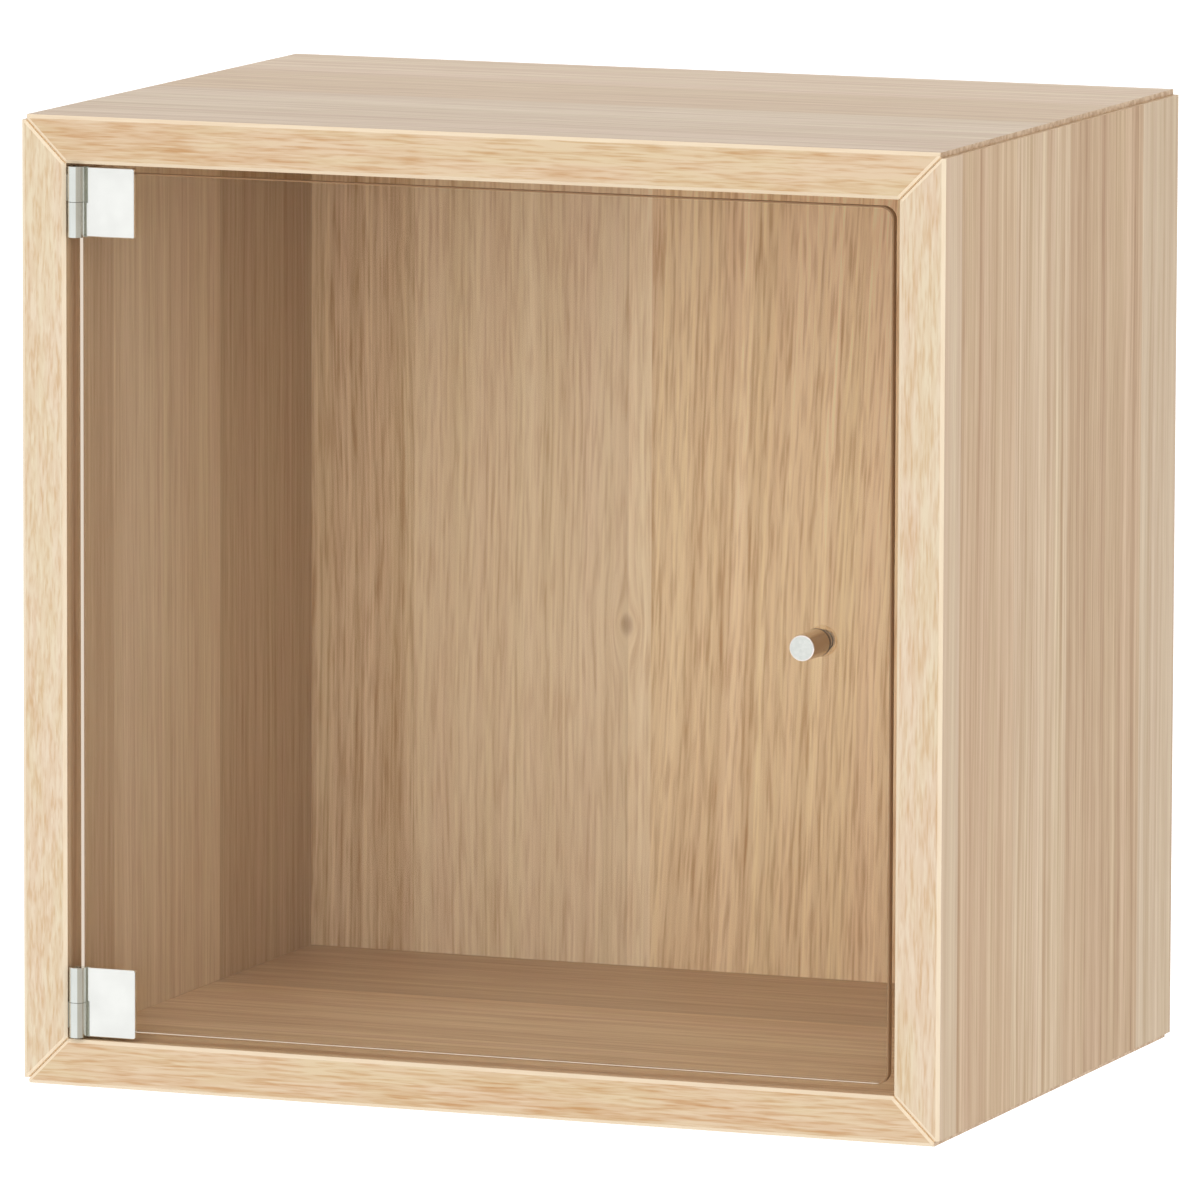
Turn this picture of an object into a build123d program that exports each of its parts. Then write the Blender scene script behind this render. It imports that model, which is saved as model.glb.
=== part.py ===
"""Wall mounted showcase: a mitred cube cabinet with an inset glass door, hung on a steel wall rail.

Millimetres, +Z up. The cabinet faces -Y and +X is to its right. The origin is on the wall, midway
between the wall screws, so y = 0 is the wall and z = 0 is the line the screws are drilled on.
"""
from build123d import *
import os

# ---- cabinet ----
WIDTH = 350.0
DEPTH = 250.0
HEIGHT = 350.0
PANEL = 17.0
SCREW_LINE_HEIGHT = 298.0  # wall screws above the cabinet's underside
TIP_BLUNT = 2.0  # square step left where two mitred tips meet
JOINT_GAP = 0.05  # each mitre face set back by the glue line
SEAM_RELIEF = 0.32  # each mitre face set back further along the front
SEAM_RELIEF_DEPTH = 1.3
LONG_BEVEL = (1.3, 1.0)  # width on the front and depth, along the outer and inner edges
SEAM_BEVEL = (1.0, 0.5)  # the same along the mitres and across the blunt tips

# ---- back board ----
BOARD = 3.0
BOARD_RECESS = 229.0  # cabinet front to the face of the board
GROOVE_DEPTH = 6.0
GROOVE_PLAY = 0.1
BOARD_END_PLAY = 0.5

# ---- wedge dowels across the mitres ----
DOWEL_R = 3.0
DOWEL_LENGTH = 13.0
DOWEL_BARB = 0.35
DOWEL_BARBS = 3
DOWEL_DEPTHS = (45.0, 125.0, 200.0)
DOWEL_HOLE_DEPTH = 7.0

# ---- glass door ----
GLASS = 4.0
GLASS_SETBACK = 4.0
GLASS_GAP_LEFT = 3.7
GLASS_GAP_RIGHT = 3.5
GLASS_GAP_END = 3.0
GLASS_CORNER_R = 4.8
GLASS_ARRIS = 0.4

# ---- hinges, from the cabinet's left face and front edge; heights from the cabinet's middle ----
PIVOT_IN = 21.05
PIVOT_BACK = 0.7
KNUCKLE_R = 3.0
KNUCKLE_HEIGHT = 25.4
KNUCKLE_END_GAP = 0.9  # knuckle to the panel above or below it
THRUST_GAP = 0.2
NECK_HOLLOW_R = 3.15  # hollowed neck round the fixed knuckle
NECK_HOLLOW_IN = 1.2
PIN_R = 1.25
PIN_RUNNING_CLEARANCE = 0.03
PIN_INSET = 0.5
PIN_CHAMFER = 0.2
LEAF_IN = 24.9
LEAF_WIDTH = 17.9
LEAF_HEIGHT = 25.0
LEAF_END_GAP = 1.1
LEAF_T = 1.8
LEAF_CORNER_R = 0.6
LEAF_EDGE = 0.25
NECK_STEP = 0.56  # the leaf runs this much nearer the barrel beside its own knuckle
NECK_T = 1.3
GASKET = 0.4
GASKET_INSET = 0.8
CLAMP_T = 2.2
CLAMP_OVERLAP = 4.4  # the clamp plate reaches this much nearer the barrel than the leaf
CLAMP_SHY = (3.4, 1.6)  # and stops this much short of the leaf's far edge and of its ends
CLAMP_GASKET_INSET = 0.5
BOSS_R = 3.2
BOSS_LENGTH = 4.0
GLASS_HOLE_R = 4.5
COLLAR_PLAY = 0.1
CLAMP_HOLE_IN = 33.9
CLAMP_HOLE_HEIGHT = 143.0
CLAMP_SCREW_R = 2.0
CLAMP_SCREW_HEAD_R = 3.7
CLAMP_SCREW_LENGTH = 7.4

# ---- stop in each barrel: a tooth on the fixed knuckle in a notch of the door's knuckle ----
DOOR_TRAVEL = 110.0
TOOTH_START = 30.0
TOOTH_SIZE = 35.0
TOOTH_R_IN = 1.95
TOOTH_LENGTH = 0.9
STOP_PLAY_DEG = 0.5
STOP_PLAY = 0.1

# ---- hinge base on the left side panel ----
BASE_T = 1.6
BASE_LENGTH = 31.0
BASE_HEIGHT = 17.0
BASE_END_GAP = 4.0
BASE_CLEAR_OF_DOOR_KNUCKLE = 4.2
BASE_WEB_FRONT = 0.4  # front of the web behind the pivot
BASE_WEB_INSET = 0.1  # web back inside the knuckle's round
MAGNET_ARM_BACK = 11.0
MAGNET_ARM_T = 3.0
MAGNET_ARM_REACH = 34.0
MAGNET_IN = 28.6
MAGNET_HEIGHT = 149.0
MAGNET_R = 4.0
MAGNET_T = 2.0
MAGNET_CHAMFER = 0.2
BASE_SCREWS = ((19.5, 140.8), (26.0, 149.5))  # distance behind the front, height from the middle

# ---- knob ----
KNOB_IN = 302.3
KNOB_RISE = 0.6  # above the cabinet's middle
KNOB_R = 4.95
KNOB_TAPER = 1.2  # degrees, narrower towards the hand
KNOB_LENGTH = 15.1
KNOB_RIM = 0.5
KNOB_FOOT_CHAMFER = 0.2
KNOB_GASKET = 1.1
KNOB_GASKET_R = 5.0
KNOB_THREAD_DEPTH = 9.0
KNOB_HOLE_R = 3.5
KNOB_WASHER_R = 5.5
KNOB_WASHER_T = 1.0
KNOB_SCREW_R = 2.0
KNOB_SCREW_HEAD_R = 4.0
KNOB_SCREW_HEAD = 2.6
KNOB_SCREW_LENGTH = 12.0
KNOB_SCREW_CHAMFER = 0.7

# ---- wood screws ----
SCREW_R = 1.6
SCREW_HEAD_R = 3.0
BASE_SCREW_LENGTH = 13.0
HANGER_SCREW_HEAD_R = 3.2
HANGER_SCREW_HEAD = 2.2
HANGER_SCREW_LENGTH = 14.0
HANGER_SCREW_CROWN_R = 2.0
PILOT_PLAY = 0.05
RECESS_SLOT = 0.7
RECESS_DEPTH = 1.1

# ---- wall rail: a cranked strip, heights from the screw line, distances from the wall ----
RAIL_LENGTH = 290.0
RAIL_T = 2.0
RAIL_FOOT = -12.0
RAIL_CRANK_LOW = 12.0
RAIL_CRANK_HIGH = 18.0
RAIL_LIP_TOP = 30.0
RAIL_LIP_OUT = 6.0
RAIL_BEND_R = 2.0
RAIL_HOLE_R = 3.25
RAIL_HOLES_OUTER = 250.0
RAIL_HOLES_INNER = 96.0

# ---- hanger brackets ----
HANGER_T = 2.0
HANGER_PLATE_OUT = 10.0  # wall to the back of the plate
HANGER_REACH = 32.0
HANGER_FOOT = -14.0
HOOK_OUT = 3.0
HOOK_TIP = 22.0
HANGER_BEND_R = 1.2
EAR_OUT = 1.5
HANGER_SCREWS = ((5.8, -8.0), (5.8, 16.0))  # distance from the wall, height
LOCK_IN = 40.0
LOCK_HEIGHT = 24.0
LOCK_R = 2.5
LOCK_SHANK = 6.5
LOCK_HEAD_R = 4.2
LOCK_HEAD = 3.0
ACCESS_HOLE_R = 3.7
CAP_R = 6.0
CAP_T = 1.2
CAP_PLUG = 3.5
CAP_WALL = 1.2

# ---- places that follow from the sizes ----
LEFT = -WIDTH / 2
RIGHT = WIDTH / 2
FRONT = -DEPTH
UNDERSIDE = -SCREW_LINE_HEIGHT
TOP = UNDERSIDE + HEIGHT
MIDDLE = (UNDERSIDE + TOP) / 2
LEFT_INNER = LEFT + PANEL
RIGHT_INNER = RIGHT - PANEL
HALF_OPENING = HEIGHT / 2 - PANEL
PIVOT = (LEFT + PIVOT_IN, FRONT + PIVOT_BACK)
GLASS_BACK = GLASS_SETBACK + GLASS
LEAF_BACK = GLASS_SETBACK - GASKET
CLAMP_FRONT = GLASS_BACK + GASKET
CLAMP_BACK = CLAMP_FRONT + CLAMP_T
LEAF_X = LEFT + LEAF_IN
LEAF_MIDDLE_X = LEAF_X + LEAF_WIDTH / 2
LEAF_MIDDLE_HEIGHT = HALF_OPENING - LEAF_END_GAP - LEAF_HEIGHT / 2
KNUCKLE_NEAR = HALF_OPENING - KNUCKLE_END_GAP
KNUCKLE_FAR = KNUCKLE_NEAR - KNUCKLE_HEIGHT
SEAM = (KNUCKLE_NEAR + KNUCKLE_FAR) / 2
BASE_NEAR = HALF_OPENING - BASE_END_GAP
BASE_FAR = BASE_NEAR - BASE_HEIGHT
CLAMP_HOLE_X = LEFT + CLAMP_HOLE_IN
KNOB_X = LEFT + KNOB_IN
KNOB_HEIGHT = MIDDLE + KNOB_RISE
SIDES = (1, -1)  # upper and lower hinge


def behind_front(distance):
    """A plane facing the viewer, this far behind the cabinet's front."""
    return Plane.XZ.offset(DEPTH - distance)


def off_wall(distance):
    """A plane facing the room, this far off the wall."""
    return Plane.XZ.offset(distance)


def level(side, height):
    """A level plane, this far above (side 1) or below (side -1) the cabinet's middle."""
    return Plane.XY.offset(MIDDLE + side * height)


def rectangle_between(x_0, y_0, x_1, y_1):
    """A rectangle from one corner to the other."""
    with Locations(((x_0 + x_1) / 2, (y_0 + y_1) / 2)):
        Rectangle(abs(x_1 - x_0), abs(y_1 - y_0))


def save(builder, name):
    """Label a finished piece and write its STEP file."""
    builder.part.label = name
    export_step(builder.part, f"parts/{name}.step")


# ---- carcase ----
def mitred_outline(length, set_back):
    """A panel's end-on outline: outer face along y = 0, mitred ends with blunt tips, set back."""
    shift = set_back * 2**0.5
    tip = length / 2 - TIP_BLUNT
    heel = length / 2 - PANEL - shift
    step = TIP_BLUNT - shift
    with BuildLine() as outline:
        Polyline((-tip, 0), (tip, 0), (tip, step), (heel, PANEL), (-heel, PANEL), (-tip, step), close=True)
    make_face(outline.edges())


def mitre_plane(panel_plane, length, end, depth):
    """The plane on a panel's mitre (end 1 or -1) at a depth, with its normal pointing into the panel."""
    middle = (TIP_BLUNT + PANEL) / 2
    along, inward = panel_plane.x_dir * end, panel_plane.y_dir
    origin = panel_plane.origin + along * (length / 2 - middle) + inward * middle
    return Plane(origin + panel_plane.z_dir * depth, x_dir=panel_plane.z_dir, z_dir=-(along + inward))


def bevel_plane(panel_plane, point, outward, bevel):
    """The plane of a bevel along the front edge through a point of the outline, facing out of the panel."""
    width, depth = bevel
    out = (panel_plane.x_dir * outward[0] + panel_plane.y_dir * outward[1]).normalized()
    edge = panel_plane.from_local_coords(point)
    return Plane(edge - out * width, z_dir=out * depth - panel_plane.z_dir * width)


def front_bevels(panel_plane, length):
    """One bevel plane for each edge of a panel's front."""
    middle = (TIP_BLUNT + PANEL) / 2
    mitre = length / 2 - middle - SEAM_RELIEF * 2**0.5
    edges = [((0, 0), (0, -1), LONG_BEVEL), ((0, PANEL), (0, 1), LONG_BEVEL)]
    for end in (-1, 1):
        edges.append(((end * mitre, middle), (end, 1), SEAM_BEVEL))
        edges.append(((end * (length / 2 - TIP_BLUNT), 0), (end, 0), SEAM_BEVEL))
    return [bevel_plane(panel_plane, *edge) for edge in edges]


def mitred_panel(panel_plane, length, pilots=()):
    """One panel of the frame. The plane lies on the front, x along the outer face and y into the cabinet."""
    with BuildPart() as panel:
        with BuildSketch(panel_plane):
            mitred_outline(length, SEAM_RELIEF)
        extrude(amount=SEAM_RELIEF_DEPTH)
        with BuildSketch(panel_plane.offset(SEAM_RELIEF_DEPTH)):
            mitred_outline(length, JOINT_GAP)
        extrude(amount=DEPTH - SEAM_RELIEF_DEPTH)
        for bevel in front_bevels(panel_plane, length):
            split(bisect_by=bevel, keep=Keep.BOTTOM)
        with BuildSketch(panel_plane.offset(BOARD_RECESS - GROOVE_PLAY)):
            rectangle_between(-length / 2, PANEL - GROOVE_DEPTH, length / 2, PANEL)
        extrude(amount=BOARD + 2 * GROOVE_PLAY, mode=Mode.SUBTRACT)
        for end in (-1, 1):
            for depth in DOWEL_DEPTHS:
                with BuildSketch(mitre_plane(panel_plane, length, end, depth)):
                    Circle(DOWEL_R + PILOT_PLAY)
                extrude(amount=DOWEL_HOLE_DEPTH, mode=Mode.SUBTRACT)
        for place, screw_length in pilots:
            with BuildSketch(place):
                Circle(SCREW_R + PILOT_PLAY)
            extrude(amount=-screw_length, mode=Mode.SUBTRACT)
    return panel


def side_face(hand, y, z):
    """The plane on a side panel's inner face (hand -1 left, 1 right) at y and z, facing into the cabinet."""
    return Plane(origin=(hand * RIGHT_INNER, y, z), x_dir=(0, 1, 0), z_dir=(-hand, 0, 0))


base_screw_places = [
    side_face(-1, FRONT + back, MIDDLE + side * height) for side in SIDES for back, height in BASE_SCREWS
]
hanger_screw_places = {
    hand: [side_face(hand, -out, height) for out, height in HANGER_SCREWS] for hand in (-1, 1)
}
hinge_pilots = [(place, BASE_SCREW_LENGTH) for place in base_screw_places]
left_pilots = hinge_pilots + [(place, HANGER_SCREW_LENGTH) for place in hanger_screw_places[-1]]
right_pilots = [(place, HANGER_SCREW_LENGTH) for place in hanger_screw_places[1]]

top_plane = Plane(origin=(0, FRONT, TOP), x_dir=(1, 0, 0), z_dir=(0, 1, 0))
bottom_plane = Plane(origin=(0, FRONT, UNDERSIDE), x_dir=(-1, 0, 0), z_dir=(0, 1, 0))
left_plane = Plane(origin=(LEFT, FRONT, MIDDLE), x_dir=(0, 0, 1), z_dir=(0, 1, 0))
right_plane = Plane(origin=(RIGHT, FRONT, MIDDLE), x_dir=(0, 0, -1), z_dir=(0, 1, 0))

top_panel = mitred_panel(top_plane, WIDTH)
bottom_panel = mitred_panel(bottom_plane, WIDTH)
left_side_panel = mitred_panel(left_plane, HEIGHT, left_pilots)
right_side_panel = mitred_panel(right_plane, HEIGHT, right_pilots)

with BuildPart() as back_board:
    with BuildSketch(behind_front(BOARD_RECESS + BOARD)):
        board_bite = 2 * (GROOVE_DEPTH - BOARD_END_PLAY)
        with Locations((0, MIDDLE)):
            Rectangle(WIDTH - 2 * PANEL + board_bite, HEIGHT - 2 * PANEL + board_bite)
        with Locations((LEFT + LOCK_IN, LOCK_HEIGHT), (RIGHT - LOCK_IN, LOCK_HEIGHT)):
            Circle(ACCESS_HOLE_R, mode=Mode.SUBTRACT)
    extrude(amount=BOARD)

with BuildPart() as wedge_dowels:
    for plane in (top_plane, bottom_plane):
        for end in (-1, 1):
            for depth in DOWEL_DEPTHS:
                mitre = mitre_plane(plane, WIDTH, end, depth)
                barb = DOWEL_LENGTH / 2 / (DOWEL_BARBS + 1)
                for way in (-1, 1):
                    with BuildSketch(mitre):
                        Circle(DOWEL_R)
                    extrude(amount=way * barb)
                    for count in range(1, DOWEL_BARBS + 1):
                        with BuildSketch(mitre.offset(way * barb * count)):
                            Circle(DOWEL_R)
                        with BuildSketch(mitre.offset(way * barb * (count + 1))):
                            Circle(DOWEL_R - DOWEL_BARB)
                        loft()


# ---- wall rail and hangers ----
def strip(points, radius, thickness):
    """The edge-on outline of a bent strip, from the points along its middle."""
    with BuildLine() as middle:
        FilletPolyline(*points, radius=radius)
    trace(middle.line, line_width=thickness)


with BuildPart() as wall_rail:
    with BuildSketch(Plane.YZ.offset(-RAIL_LENGTH / 2)):
        rail_middle = RAIL_T / 2
        lip_middle = RAIL_LIP_OUT + RAIL_T / 2
        strip(
            (
                (-rail_middle, RAIL_FOOT),
                (-rail_middle, RAIL_CRANK_LOW),
                (-lip_middle, RAIL_CRANK_HIGH),
                (-lip_middle, RAIL_LIP_TOP),
            ),
            RAIL_BEND_R,
            RAIL_T,
        )
    extrude(amount=RAIL_LENGTH)
    with BuildSketch(off_wall(RAIL_T)):
        for spacing in (RAIL_HOLES_OUTER, RAIL_HOLES_INNER):
            with Locations((-spacing / 2, 0), (spacing / 2, 0)):
                Circle(RAIL_HOLE_R)
    extrude(amount=-RAIL_T, mode=Mode.SUBTRACT)


def hanger_bracket(hand):
    """An ear on the side panel, a plate across the recess and a hook folded back over the rail's lip."""
    inner = hand * RIGHT_INNER
    middle = HANGER_T / 2
    with BuildPart() as bracket:
        with BuildSketch(Plane.YZ.offset(inner)):
            strip(
                (
                    (-HANGER_PLATE_OUT - middle, HANGER_FOOT),
                    (-HANGER_PLATE_OUT - middle, RAIL_LIP_TOP + middle),
                    (-HOOK_OUT - middle, RAIL_LIP_TOP + middle),
                    (-HOOK_OUT - middle, HOOK_TIP),
                ),
                HANGER_BEND_R,
                HANGER_T,
            )
        extrude(amount=-hand * HANGER_REACH)
        with BuildSketch(Plane.YZ.offset(inner)):
            rectangle_between(-EAR_OUT, HANGER_FOOT, -HANGER_PLATE_OUT - HANGER_T, HOOK_TIP - middle)
        extrude(amount=-hand * HANGER_T)
        with BuildSketch(off_wall(HANGER_PLATE_OUT)):
            with Locations((hand * (RIGHT - LOCK_IN), LOCK_HEIGHT)):
                Circle(LOCK_R)
        extrude(amount=HANGER_T, mode=Mode.SUBTRACT)
        for place in hanger_screw_places[hand]:
            with BuildSketch(place):
                Circle(SCREW_R + PILOT_PLAY)
            extrude(amount=HANGER_T, mode=Mode.SUBTRACT)
    return bracket


left_hanger_bracket = hanger_bracket(-1)
right_hanger_bracket = hanger_bracket(1)


def cross_recess(size):
    """The cross for a screwdriver, cut into the head that each plane in force lies on."""
    Box(size, RECESS_SLOT, 2 * RECESS_DEPTH, mode=Mode.SUBTRACT)
    Box(RECESS_SLOT, size, 2 * RECESS_DEPTH, mode=Mode.SUBTRACT)


TO_TOP = (Align.CENTER, Align.CENTER, Align.MAX)
TO_BOTTOM = (Align.CENTER, Align.CENTER, Align.MIN)

with BuildPart() as hanger_screws:
    ear_faces = [place.offset(HANGER_T) for hand in (-1, 1) for place in hanger_screw_places[hand]]
    with Locations(*ear_faces):
        Cylinder(SCREW_R, HANGER_SCREW_LENGTH, align=TO_TOP)
        Cone(HANGER_SCREW_HEAD_R, HANGER_SCREW_CROWN_R, HANGER_SCREW_HEAD, align=TO_BOTTOM)
    with Locations(*[face.offset(HANGER_SCREW_HEAD) for face in ear_faces]):
        cross_recess(HANGER_SCREW_HEAD_R)

lock_places = [(hand * (RIGHT - LOCK_IN), LOCK_HEIGHT) for hand in (-1, 1)]

with BuildPart() as hanger_lock_screws:
    lip_face = RAIL_LIP_OUT + RAIL_T
    with BuildSketch(off_wall(lip_face)):
        with Locations(*lock_places):
            Circle(LOCK_R)
    extrude(amount=LOCK_SHANK)
    with BuildSketch(off_wall(lip_face + LOCK_SHANK)):
        with Locations(*lock_places):
            Circle(LOCK_HEAD_R)
            Rectangle(LOCK_HEAD_R, RECESS_SLOT, mode=Mode.SUBTRACT)
            Rectangle(RECESS_SLOT, LOCK_HEAD_R, mode=Mode.SUBTRACT)
    extrude(amount=LOCK_HEAD)
    with BuildSketch(off_wall(lip_face + LOCK_SHANK)):
        with Locations(*lock_places):
            Circle(LOCK_HEAD_R)
    extrude(amount=LOCK_HEAD - RECESS_DEPTH)

with BuildPart() as lock_screw_caps:
    board_face = DEPTH - BOARD_RECESS
    with BuildSketch(off_wall(board_face)):
        with Locations(*lock_places):
            Circle(CAP_R)
    extrude(amount=CAP_T)
    chamfer(lock_screw_caps.faces().group_by(Axis.Y)[0].edges(), CAP_T / 2)
    with BuildSketch(off_wall(board_face)):
        with Locations(*lock_places):
            Circle(ACCESS_HOLE_R - PILOT_PLAY)
            Circle(ACCESS_HOLE_R - CAP_WALL, mode=Mode.SUBTRACT)
    extrude(amount=-CAP_PLUG)


# ---- hinges ----
def stop_sector(radius_in, radius_out, start, size):
    """A slice of a ring about the pivot."""
    with BuildLine() as outline:
        outer = CenterArc(PIVOT, radius_out, start, size)
        inner = CenterArc(PIVOT, radius_in, start, size)
        Line(outer @ 0, inner @ 0)
        Line(outer @ 1, inner @ 1)
    make_face(outline.edges())


def hinge_base(side):
    """The fixed half of a hinge: flange on the side panel, fixed knuckle and the magnet's arm."""
    knuckle_start = SEAM + THRUST_GAP / 2
    flange_x = LEFT_INNER + BASE_T
    with BuildPart() as base:
        with BuildSketch(level(side, BASE_FAR)):
            rectangle_between(LEFT_INNER, FRONT + BASE_CLEAR_OF_DOOR_KNUCKLE, flange_x, FRONT + BASE_LENGTH)
            arm_back = FRONT + MAGNET_ARM_BACK + MAGNET_ARM_T
            rectangle_between(LEFT_INNER, FRONT + MAGNET_ARM_BACK, LEFT + MAGNET_ARM_REACH, arm_back)
        extrude(amount=side * BASE_HEIGHT)
        with BuildSketch(level(side, knuckle_start)):
            with Locations(PIVOT):
                Circle(KNUCKLE_R)
        extrude(amount=side * (KNUCKLE_NEAR - knuckle_start))
        with BuildSketch(level(side, knuckle_start)):
            web_front = PIVOT[1] + BASE_WEB_FRONT
            rectangle_between(LEFT_INNER, web_front, PIVOT[0], PIVOT[1] + KNUCKLE_R - BASE_WEB_INSET)
            rectangle_between(LEFT_INNER, web_front, flange_x, FRONT + BASE_CLEAR_OF_DOOR_KNUCKLE)
        extrude(amount=side * (BASE_NEAR - knuckle_start))
        with BuildSketch(level(side, knuckle_start)):
            stop_sector(TOOTH_R_IN, KNUCKLE_R - STOP_PLAY, TOOTH_START, TOOTH_SIZE)
        extrude(amount=-side * (THRUST_GAP + TOOTH_LENGTH))
        with BuildSketch(level(side, knuckle_start)):
            with Locations(PIVOT):
                Circle(PIN_R)
        extrude(amount=side * (KNUCKLE_NEAR - knuckle_start), mode=Mode.SUBTRACT)
        with BuildSketch(behind_front(MAGNET_ARM_BACK)):
            with Locations((LEFT + MAGNET_IN, MIDDLE + side * MAGNET_HEIGHT)):
                Circle(MAGNET_R + PILOT_PLAY)
        extrude(amount=-MAGNET_T, mode=Mode.SUBTRACT)
        flange_faces = [
            side_face(-1, FRONT + back, MIDDLE + side * height).offset(BASE_T) for back, height in BASE_SCREWS
        ]
        with Locations(*flange_faces):
            CounterSinkHole(SCREW_R + PILOT_PLAY, SCREW_HEAD_R + PILOT_PLAY, depth=BASE_T)
    return base


upper_hinge_base = hinge_base(1)
lower_hinge_base = hinge_base(-1)

with BuildPart() as hinge_base_screws:
    head_height = SCREW_HEAD_R - SCREW_R
    head_faces = [place.offset(BASE_T) for place in base_screw_places]
    with Locations(*head_faces):
        Cylinder(SCREW_R, BASE_SCREW_LENGTH, align=TO_TOP)
        Cone(SCREW_R, SCREW_HEAD_R, head_height, align=TO_TOP)
        cross_recess(SCREW_HEAD_R)

with BuildPart() as hinge_magnets:
    with BuildSketch(behind_front(MAGNET_ARM_BACK + MAGNET_T)):
        with Locations(*[(LEFT + MAGNET_IN, MIDDLE + side * MAGNET_HEIGHT) for side in SIDES]):
            Circle(MAGNET_R)
    extrude(amount=MAGNET_T)
    chamfer(hinge_magnets.faces().group_by(Axis.Y)[0].edges(), MAGNET_CHAMFER)

with BuildPart() as hinge_pins:
    for side in SIDES:
        with BuildSketch(level(side, KNUCKLE_FAR + PIN_INSET)):
            with Locations(PIVOT):
                Circle(PIN_R)
        extrude(amount=side * (KNUCKLE_HEIGHT - 2 * PIN_INSET))
    chamfer(hinge_pins.edges().filter_by(GeomType.CIRCLE), PIN_CHAMFER)

with BuildPart() as hinge_thrust_washers:
    for side in SIDES:
        with BuildSketch(level(side, SEAM - THRUST_GAP / 2)):
            with Locations(PIVOT):
                Circle(TOOTH_R_IN - STOP_PLAY)
                Circle(PIN_R + PIN_RUNNING_CLEARANCE, mode=Mode.SUBTRACT)
        extrude(amount=side * THRUST_GAP)


def leaf_outline(side, inset=0.0):
    """The square outline of a hinge's leaf and, inset, of its front gasket."""
    with Locations((LEAF_MIDDLE_X, MIDDLE + side * LEAF_MIDDLE_HEIGHT)):
        RectangleRounded(LEAF_WIDTH - 2 * inset, LEAF_HEIGHT - 2 * inset, LEAF_CORNER_R)


def clamp_outline(side, inset=0.0):
    """The clamp plate's outline, hidden behind the leaf's; its gasket's is inset."""
    shy, end_shy = CLAMP_SHY
    width = LEAF_WIDTH + CLAMP_OVERLAP - shy - 2 * inset
    height = LEAF_HEIGHT - 2 * end_shy - 2 * inset
    middle_x = LEAF_MIDDLE_X - (CLAMP_OVERLAP + shy) / 2
    with Locations((middle_x, MIDDLE + side * LEAF_MIDDLE_HEIGHT)):
        RectangleRounded(width, height, LEAF_CORNER_R)


def clamp_hole(side, radius, mode):
    """A circle where the hinge's clamp screw passes."""
    with Locations((CLAMP_HOLE_X, MIDDLE + side * CLAMP_HOLE_HEIGHT)):
        Circle(radius, mode=mode)


def door_leaf(side):
    """The moving half of a hinge: cover plate, knuckle and the boss that the clamp screw pulls on."""
    knuckle_end = SEAM - THRUST_GAP / 2
    knuckle = knuckle_end - KNUCKLE_FAR
    neck_front = FRONT + LEAF_BACK - NECK_T
    with BuildPart() as leaf:
        with BuildSketch(behind_front(LEAF_BACK)):
            leaf_outline(side)
            low = MIDDLE + side * (LEAF_MIDDLE_HEIGHT - LEAF_HEIGHT / 2)
            rectangle_between(LEAF_X - NECK_STEP, low, LEAF_X + LEAF_CORNER_R, MIDDLE + side * knuckle_end)
        extrude(amount=LEAF_T)
        chamfer(leaf.faces().sort_by(Axis.Y)[0].edges(), LEAF_EDGE)
        with BuildSketch(level(side, KNUCKLE_FAR)):
            with Locations(PIVOT):
                Circle(KNUCKLE_R)
            rectangle_between(PIVOT[0], neck_front, LEAF_X, FRONT + LEAF_BACK)
        extrude(amount=side * knuckle)
        with BuildSketch(level(side, knuckle_end)):
            hollow_start = PIVOT[0] + NECK_HOLLOW_IN
            rectangle_between(hollow_start, neck_front, LEAF_X + LEAF_CORNER_R, FRONT + LEAF_BACK)
            with Locations(PIVOT):
                Circle(NECK_HOLLOW_R, mode=Mode.SUBTRACT)
        extrude(amount=side * (LEAF_MIDDLE_HEIGHT + LEAF_HEIGHT / 2 - knuckle_end))
        with BuildSketch(level(side, knuckle_end)):
            notch = DOOR_TRAVEL + TOOTH_SIZE + 2 * STOP_PLAY_DEG
            stop_sector(TOOTH_R_IN - STOP_PLAY, KNUCKLE_R + STOP_PLAY / 2, TOOTH_START - STOP_PLAY_DEG, notch)
        extrude(amount=-side * (TOOTH_LENGTH + STOP_PLAY), mode=Mode.SUBTRACT)
        with BuildSketch(level(side, KNUCKLE_FAR)):
            with Locations(PIVOT):
                Circle(PIN_R + PIN_RUNNING_CLEARANCE)
        extrude(amount=side * knuckle, mode=Mode.SUBTRACT)
        with BuildSketch(behind_front(LEAF_BACK)):
            clamp_hole(side, BOSS_R, Mode.ADD)
        extrude(amount=-BOSS_LENGTH)
        with BuildSketch(behind_front(LEAF_BACK + BOSS_LENGTH)):
            clamp_hole(side, CLAMP_SCREW_R, Mode.ADD)
        extrude(amount=BOSS_LENGTH + LEAF_T / 2, mode=Mode.SUBTRACT)
    return leaf


def clamp_plate(side):
    """The steel plate on the back of the glass, countersunk for the clamp screw and drawn by the magnet."""
    with BuildPart() as plate:
        with BuildSketch(behind_front(CLAMP_BACK)):
            clamp_outline(side)
        extrude(amount=CLAMP_T)
        chamfer(plate.faces().sort_by(Axis.Y)[-1].edges(), LEAF_EDGE)
        hole_face = Plane(
            origin=(CLAMP_HOLE_X, FRONT + CLAMP_BACK, MIDDLE + side * CLAMP_HOLE_HEIGHT), z_dir=(0, 1, 0)
        )
        with Locations(hole_face):
            CounterSinkHole(CLAMP_SCREW_R + COLLAR_PLAY, CLAMP_SCREW_HEAD_R + PILOT_PLAY, depth=CLAMP_T)
    return plate


upper_hinge_leaf = door_leaf(1)
lower_hinge_leaf = door_leaf(-1)
upper_clamp_plate = clamp_plate(1)
lower_clamp_plate = clamp_plate(-1)

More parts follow.
